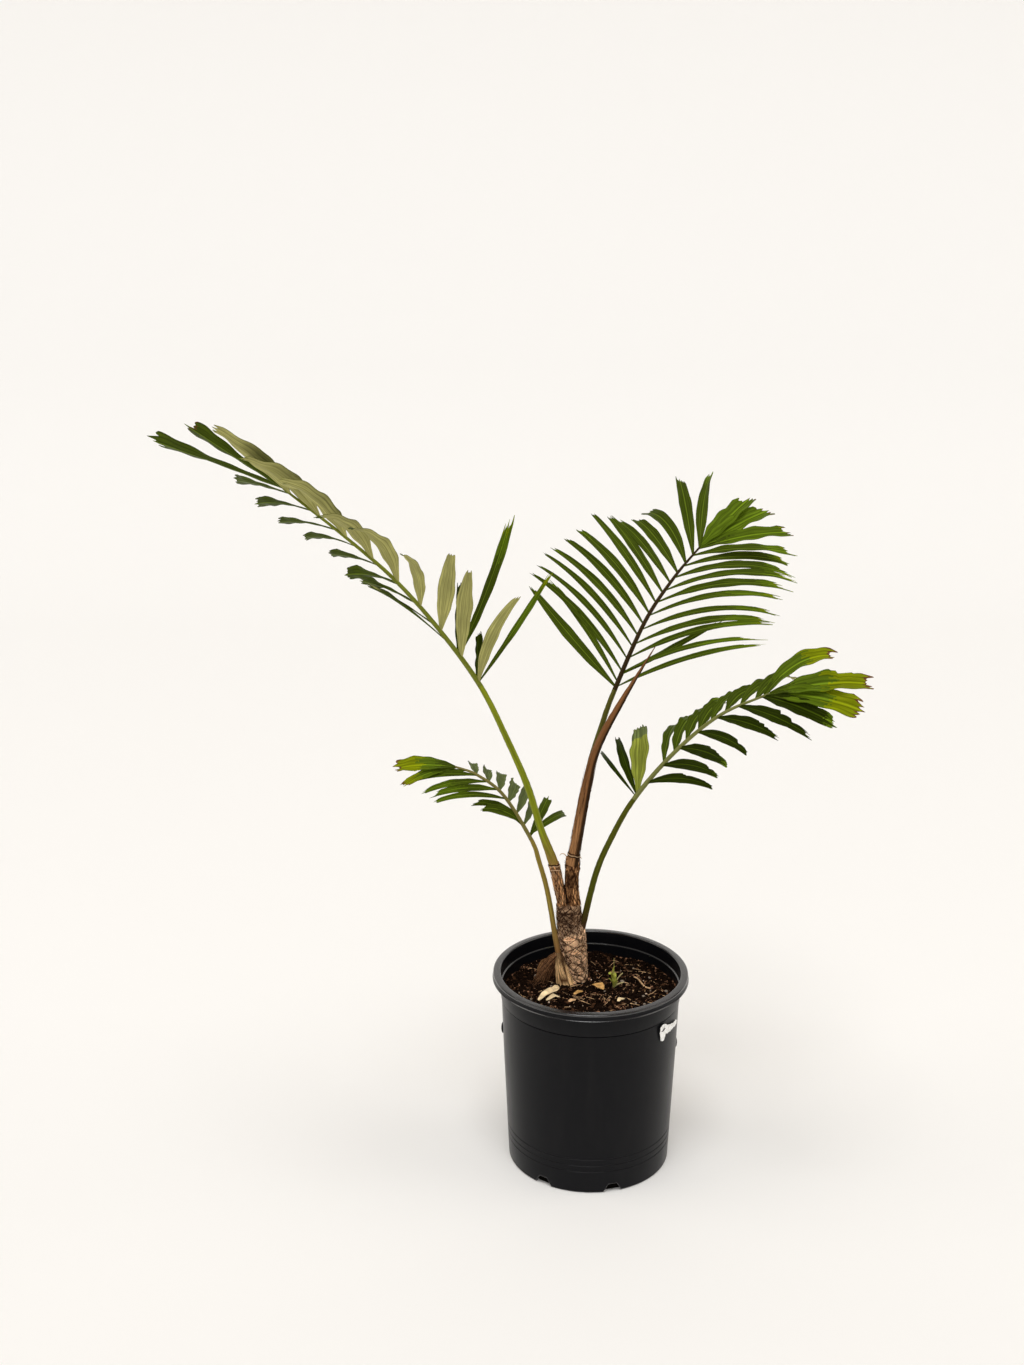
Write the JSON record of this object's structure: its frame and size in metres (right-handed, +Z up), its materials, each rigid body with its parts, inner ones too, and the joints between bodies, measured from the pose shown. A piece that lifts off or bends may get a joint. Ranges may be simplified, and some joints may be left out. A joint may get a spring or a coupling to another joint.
{
  "type": "potted arenga palm",
  "caption": "Young arenga palm in a filled round black nursery pot: short fibrous trunk, arching pinnate fronds with jagged-ended leaflets and a closed spear leaf.",
  "frame": {"origin": "centre of the pot's flat underside", "axes": "+Z up; -Y towards the front, from which the tall fronds part to the left and right"},
  "size_m": [0.8496, 0.4955, 1.0111],
  "materials": {
    "black_plastic": "satin",
    "potting_mix": "rough",
    "bark": "fibrous",
    "stalk": "satin",
    "leaf": "satin",
    "spear": "matte"
  },
  "bodies": {
    "root": {"pot": "black_plastic", "soil": "potting_mix", "trunk": "bark", "sheath_left_tall": "bark", "sheath_right_tall": "bark", "sheath_left_low": "bark", "petiole_left_tall": "stalk", "petiole_right_tall": "stalk", "petiole_right_low": "stalk", "petiole_left_low": "stalk", "frond_left_tall": "leaf", "frond_right_tall": "leaf", "frond_right_low": "leaf", "frond_left_low": "leaf", "spear_leaf": "spear"}
  },
  "joints": []
}
